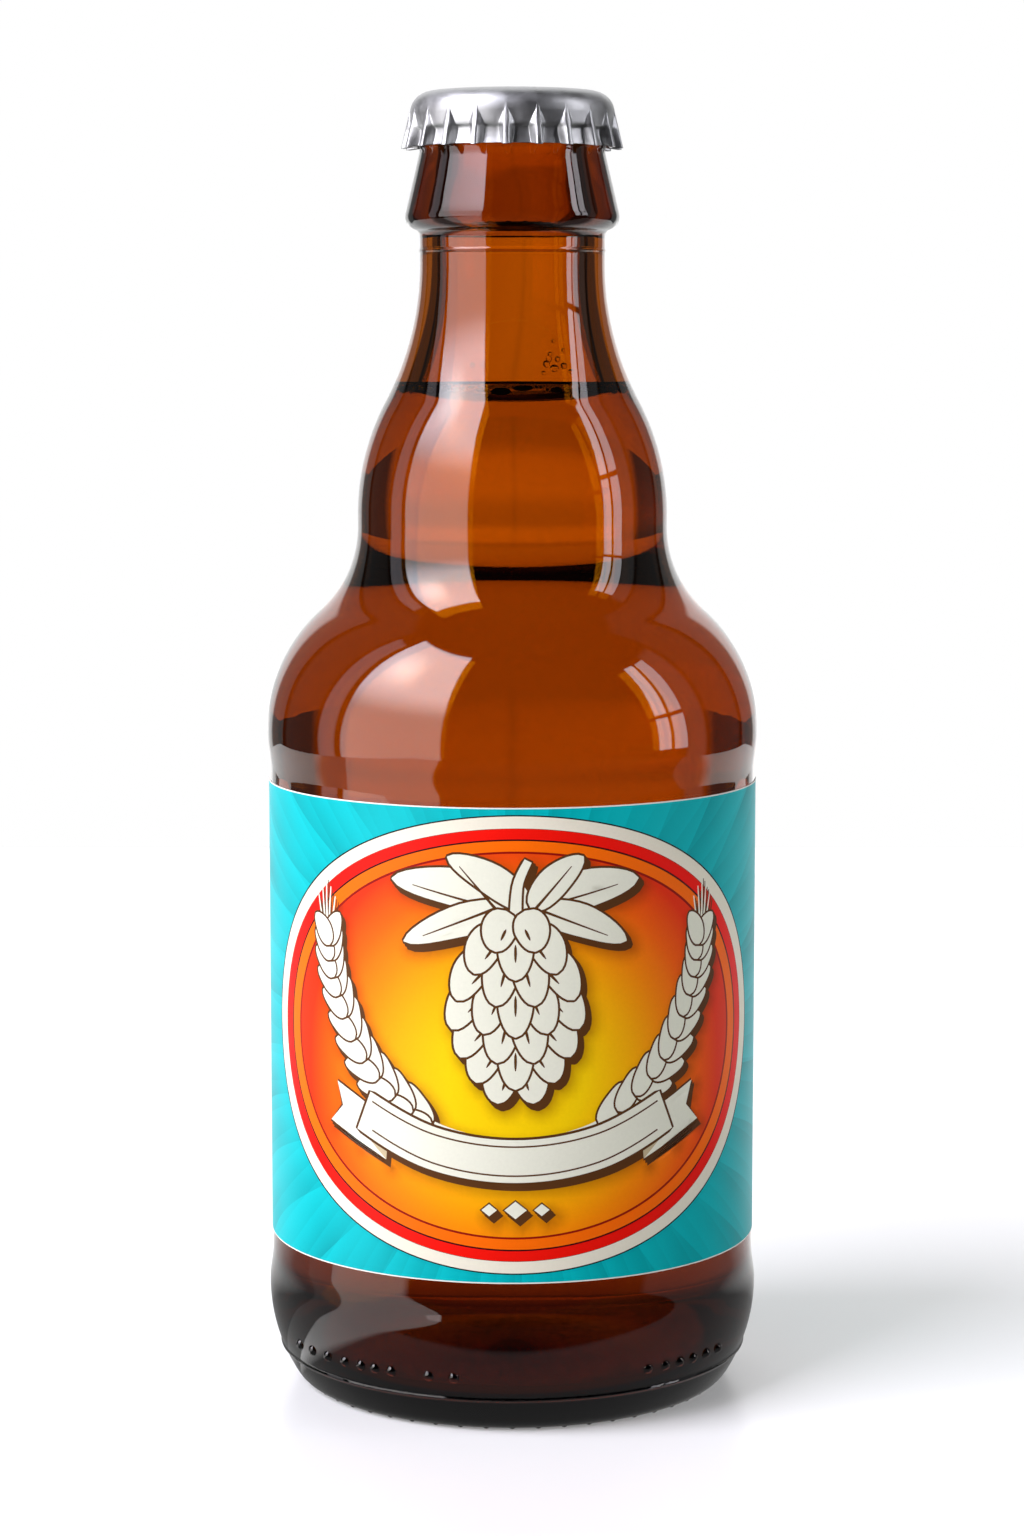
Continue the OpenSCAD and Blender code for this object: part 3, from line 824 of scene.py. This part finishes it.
angle = add(tree, "ShaderNodeMath", {0: parts["Y"], 1: parts["X"]}, operation="ARCTAN2")

# Fans of soft folds that spread from the middle: each fold is darker towards one of its sides.
wander = add(tree, "ShaderNodeTexNoise", {"Vector": sheet_place, "Scale": 0.02, "Detail": 0.0})
fans = []
for rate, bend in ((5.57, 1.6), (12.89, -2.0)):
    bent = add(tree, "ShaderNodeMath", {0: wander, 1: bend}, operation="MULTIPLY")
    fan = add(tree, "ShaderNodeMath", {0: angle, 1: rate, 2: bent}, operation="MULTIPLY_ADD")
    fans.append(add(tree, "ShaderNodeMath", {0: fan}, operation="FRACT"))
fan = add(tree, "ShaderNodeMath", {0: fans[1], 1: 0.45, 2: fans[0]}, operation="MULTIPLY_ADD")
fade = add(tree, "ShaderNodeTexNoise", {"Vector": sheet_place, "Scale": 0.09, "Detail": 0.0})
fold_depth = add(tree, "ShaderNodeMath", {0: fan, 1: fade}, operation="MULTIPLY")
ground = add(tree, "ShaderNodeMix", {0: fold_depth, 6: colour("#05BEC4"), 7: colour("#009BA1")},
             data_type="RGBA")

# The field inside the rings glows yellow a little below its middle, and reddens outwards.
in_field = add(tree, "ShaderNodeVectorMath", {0: from_middle, 1: (0, -4.5, 0)}, operation="SUBTRACT")
in_field = add(tree, "ShaderNodeVectorMath", {0: in_field, 1: (34, 34, 1)}, operation="DIVIDE")
glow = add(tree, "ShaderNodeVectorMath", {0: in_field}, operation="LENGTH").outputs["Value"]
field = add(tree, "ShaderNodeValToRGB", {0: glow})
stops = field.color_ramp.elements
GLOW = ((0.26, "#FFD40A"), (0.46, "#FFB208"), (0.62, "#FD8C08"), (0.77, "#F8640C"), (0.92, "#EA3410"))
for number, (place, code) in enumerate(GLOW):
    stop = stops[number] if number < 2 else stops.new(place)
    stop.position = place
    stop.color = colour(code)
dusk = add(tree, "ShaderNodeMath", {0: shadow_depth, 1: 0.6}, operation="MULTIPLY")
paint = add(tree, "ShaderNodeMix", {0: dusk, 6: field, 7: colour("#7A2B06")}, data_type="RGBA")
RINGS = (
    # share of the oval's size where the ring starts, its ink
    (0.8345, "#91120A"), (0.8435, "#FF6E08"), (0.889, "#3C0A0F"), (0.896, "#F5160C"), (0.94, "#8A1A10"),
    (0.9425, "#EFE9D6"), (0.994, "#151210"), (1.0, ground),
)
for start, code in RINGS:
    beyond = add(tree, "ShaderNodeMath", {0: oval_share, 1: start}, operation="GREATER_THAN")
    over = colour(code) if isinstance(code, str) else code
    paint = add(tree, "ShaderNodeMix", {0: beyond, 6: paint, 7: over}, data_type="RGBA")
for number, code in ((CREAM, "#EEEEDC"), (BROWN, "#59361A"), (FOLD_SHADE, "#C9B893"), (BACK, "#E9E4D8")):
    inked = add(tree, "ShaderNodeMath", {0: ink, 1: float(number), 2: 0.1}, operation="COMPARE")
    paint = add(tree, "ShaderNodeMix", {0: inked, 6: paint, 7: colour(code)}, data_type="RGBA")

# The cut shows a hair of bare paper along the top and the bottom.
for place, side in ((sheet_z0 + 0.16, "LESS_THAN"), (sheet_z1 - 0.16, "GREATER_THAN")):
    cut = add(tree, "ShaderNodeMath", {0: up_sheet, 1: place}, operation=side)
    paint = add(tree, "ShaderNodeMix", {0: cut, 6: paint, 7: colour("#F3EFE6")}, data_type="RGBA")
mottle = add(tree, "ShaderNodeTexNoise", {
    "Vector": sheet_place, "Scale": 2.2, "Detail": 5.0, "Roughness": 0.7,
})
speck = add(tree, "ShaderNodeMath", {0: mottle, 1: 0.3}, operation="MULTIPLY")
paint = add(tree, "ShaderNodeMix", {0: speck, 6: paint, 7: colour("#D2D2D2")}, data_type="RGBA",
            blend_type="MULTIPLY")
bump = add(tree, "ShaderNodeBump", {"Height": mottle, "Strength": 0.2, "Distance": 0.00003})
surface = add(tree, "ShaderNodeBsdfPrincipled", {
    "Base Color": paint, "Roughness": 0.42, "Specular IOR Level": 0.1, "Normal": bump,
})
tree.links.new(surface.outputs[0], output.inputs["Surface"])
label_mesh.materials.append(printed_paper)
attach(label, "root")
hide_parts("label")


# Floor: a wide sheet of plain white laminate, nearly matt, with a faint even glow. The camera sees it lit by
# the lamps, and the bottle sees a painted pattern of light and dark on it instead, a glow from no lamp.
floor_mesh = bpy.data.meshes.new("floor")
floor_mesh.from_pydata([(-0.5, -0.5, 0), (0.5, -0.5, 0), (0.5, 0.5, 0), (-0.5, 0.5, 0)], [], [(0, 1, 2, 3)])
floor = bpy.data.objects.new("floor", floor_mesh)
bpy.context.scene.collection.objects.link(floor)
white, tree, output = new_material("white_laminate")
lit = add(tree, "ShaderNodeBsdfPrincipled", {
    "Base Color": colour("#E0E0E0"), "Roughness": 0.25, "IOR": 1.3,
    "Emission Color": colour("#FFFFFF"), "Emission Strength": 0.2,
})
on_floor = add(tree, "ShaderNodeTexCoord").outputs["Object"]
spot = add(tree, "ShaderNodeSeparateXYZ", {0: on_floor}).outputs
rays = add(tree, "ShaderNodeLightPath").outputs


def window(tree, value, low, high, soft_low, soft_high):
    """1 where the value lies between low and high, with an edge as soft as told at each end."""
    ends = [add(tree, "ShaderNodeMapRange", {0: value, 1: end - soft, 2: end + soft},
                interpolation_type="SMOOTHSTEP") for end, soft in ((low, soft_low), (high, soft_high))]
    return add(tree, "ShaderNodeMath", {0: ends[0], 1: ends[1]}, operation="SUBTRACT")


# What the glass shows of the floor is painted light, a glow by place: bright behind, dark in front,
# a painted pool of light close to the bottle for glossy rays, and bright again beyond a slanting
# edge on the left, a painted patch of the softbox's light.
behind = add(tree, "ShaderNodeMapRange", {0: spot["Y"], 1: 0.02, 2: 0.08, 3: 0.03, 4: 1.35})
near = add(tree, "ShaderNodeMapRange", {0: spot["Y"], 1: -0.064, 2: -0.058, 3: 0.0, 4: 0.26})
near = add(tree, "ShaderNodeMath", {0: near, 1: rays["Is Glossy Ray"]}, operation="MULTIPLY")
painted_glow_strength = add(tree, "ShaderNodeMath", {0: behind, 1: near}, operation="MAXIMUM")
forward = add(tree, "ShaderNodeMath", {0: spot["Y"], 1: -1.0}, operation="MULTIPLY")
side_turn = add(tree, "ShaderNodeMath", {0: spot["X"], 1: forward}, operation="ARCTAN2")
side_turn = add(tree, "ShaderNodeMath", {0: side_turn}, operation="DEGREES")
slant = add(tree, "ShaderNodeVectorMath", {0: on_floor, 1: (0.867, -0.499, 0)}, operation="DOT_PRODUCT")
beyond = add(tree, "ShaderNodeMapRange", {0: slant.outputs["Value"], 1: -0.028, 2: -0.022, 3: 1.0, 4: 0.0})
# Painted patches of the softbox's light, glowing on the floor to the left of the slanting edge.
for low, high, power in ((-81, -33, 1.6), (-97, -81, 0.4)):
    patch = add(tree, "ShaderNodeMath", {0: window(tree, side_turn, low, high, 1.0, 1.0), 1: power},
                operation="MULTIPLY")
    patch = add(tree, "ShaderNodeMath", {0: patch, 1: beyond}, operation="MULTIPLY")
    painted_glow_strength = add(tree, "ShaderNodeMath", {0: painted_glow_strength, 1: patch}, operation="MAXIMUM")
# The painted light itself: the floor glows with it for every ray but the camera's.
painted_glow = add(tree, "ShaderNodeEmission", {"Color": colour("#FFFFFF"), "Strength": painted_glow_strength})
both = add(tree, "ShaderNodeMixShader", {0: rays["Is Camera Ray"], 1: painted_glow, 2: lit})
tree.links.new(both.outputs[0], output.inputs["Surface"])
floor_mesh.materials.append(white)


# Studio: a white card behind the bottle, white side cards, a large softbox on the left and a
# barred window on the right. They are all painted on the sky by direction, in degrees.
world = bpy.data.worlds.new("studio")
bpy.context.scene.world = world
world.use_nodes = True
tree = world.node_tree
tree.nodes.clear()
output = add(tree, "ShaderNodeOutputWorld")
way = add(tree, "ShaderNodeSeparateXYZ", {0: add(tree, "ShaderNodeTexCoord").outputs["Generated"]}).outputs
ahead_y = add(tree, "ShaderNodeMath", {0: way["Y"], 1: -1.0}, operation="MULTIPLY")
turn = add(tree, "ShaderNodeMath", {0: way["X"], 1: ahead_y}, operation="ARCTAN2")
turn = add(tree, "ShaderNodeMath", {0: turn}, operation="DEGREES")
lift = add(tree, "ShaderNodeMath", {0: way["Z"]}, operation="ARCSINE")
lift = add(tree, "ShaderNodeMath", {0: lift}, operation="DEGREES")
LIGHTS = (
    # name, turn from, turn to, lift from, lift to, soft at the sides, below and above, brightness, colour
    ("back card, left", -181, -151, -90, 75, 2.0, 2.0, 2.0, 1.2, "#FFFFFF"),
    ("back card, right", 151, 181, -90, 75, 2.0, 2.0, 2.0, 1.2, "#FFFFFF"),
    ("back card, low on the left", -181, -158, -10, -4, 2.0, 1.5, 1.5, 0.55, "#FFFFFF"),
    ("back card, low on the right", 158, 181, -10, -4, 2.0, 1.5, 1.5, 0.55, "#FFFFFF"),
    ("back wing, left", -151, -134, -90, 75, 1.0, 2.0, 2.0, 0.2, "#FFFFFF"),
    ("back wing, right", 134, 151, -90, 75, 1.0, 2.0, 2.0, 0.2, "#FFFFFF"),
    ("side card, left", -130, -104, -90, 60, 2.0, 2.0, 2.0, 0.08, "#FFFFFF"),
    ("side card, right", 104, 130, -90, 60, 2.0, 2.0, 2.0, 0.08, "#FFFFFF"),
    ("softbox", -86, -33, -12, 62, 0.8, 0.8, 0.8, 3.0, "#FCF8FA"),
    ("softbox, its upper half", -86, -33, 25, 62, 0.8, 9.0, 0.8, 6.0, "#EEEDFF"),
    ("softbox, the lamp in it", -80, -60, 38, 52, 8.0, 8.0, 8.0, 6.0, "#FFFFFF"),
    ("reflector beside it", -101, -90, -12, 55, 1.0, 1.0, 1.0, 1.0, "#FAF4FF"),
    ("window, near pane, low", 71, 78, -4, 13, 0.4, 0.4, 0.4, 5.0, "#F8F7FF"),
    ("window, near pane, high", 71, 78, 15, 44, 0.4, 0.4, 0.4, 6.0, "#F8F7FF"),
    ("window, far pane, low", 80, 88, -4, 13, 0.4, 0.4, 0.4, 4.0, "#F8F7FF"),
    ("window, far pane, high", 80, 88, 15, 44, 0.4, 0.4, 0.4, 4.0, "#F8F7FF"),
    ("wall beside the window", 88, 101, -12, 46, 2.0, 2.0, 2.0, 0.25, "#FFFFFF"),
)
light = colour("#1C1C1C")
for name, a0, a1, e0, e1, soft_side, soft_low, soft_high, power, code in LIGHTS:
    across = window(tree, turn, a0, a1, soft_side, soft_side)
    upward = window(tree, lift, e0, e1, soft_low, soft_high)
    patch = add(tree, "ShaderNodeMath", {0: across, 1: upward}, operation="MULTIPLY", label=name)
    light = add(tree, "ShaderNodeMix", {0: patch, 6: light, 7: [power * c for c in colour(code)]},
                data_type="RGBA", blend_type="ADD")
sky = add(tree, "ShaderNodeBackground", {"Strength": 1.0, "Color": light})
plain_sky = add(tree, "ShaderNodeBackground", {"Strength": 1.0, "Color": colour("#FFFFFF")})
seen = add(tree, "ShaderNodeLightPath").outputs["Is Camera Ray"]
both = add(tree, "ShaderNodeMixShader", {0: seen, 1: sky.outputs[0], 2: plain_sky.outputs[0]})
tree.links.new(both.outputs[0], output.inputs["Surface"])


# Two large lamps, one above the softbox and a low one on the right. They light only matt things,
# the paper and the floor.
for name, size, energy, place in (
    ("key_lamp", 0.7, 2.6, (-0.62, -0.85, 0.75)), ("fill_lamp", 0.4, 2.6, (0.72, -0.5, 0.1)),
):
    lamp = bpy.data.objects.new(name, bpy.data.lights.new(name, "AREA"))
    bpy.context.scene.collection.objects.link(lamp)
    lamp.data.size = size
    lamp.data.energy = energy
    lamp.location = place
    lamp.rotation_euler = (Vector((0, 0, 0.06)) - lamp.location).to_track_quat("-Z", "Y").to_euler()
    lamp.visible_glossy = False
    lamp.visible_transmission = False
    lamp.visible_camera = False


# Camera: a long lens 0.49 m in front of the bottle's axis, a little under the collar's height and
# tipped down by 7 degrees.
camera = bpy.data.objects.new("camera", bpy.data.cameras.new("camera"))
bpy.context.scene.collection.objects.link(camera)
camera.data.sensor_width = 36.0
camera.data.lens = 84.44
camera.data.clip_start = 0.01
camera.location = (-0.00005, -0.4859, 0.14335)
camera.rotation_euler = (math.radians(90 - 6.99), 0, 0)
bpy.context.scene.camera = camera

scene = bpy.context.scene
scene.view_settings.view_transform = "Standard"
scene.cycles.max_bounces = 24
scene.cycles.transmission_bounces = 24
scene.cycles.caustics_reflective = False
scene.cycles.caustics_refractive = False
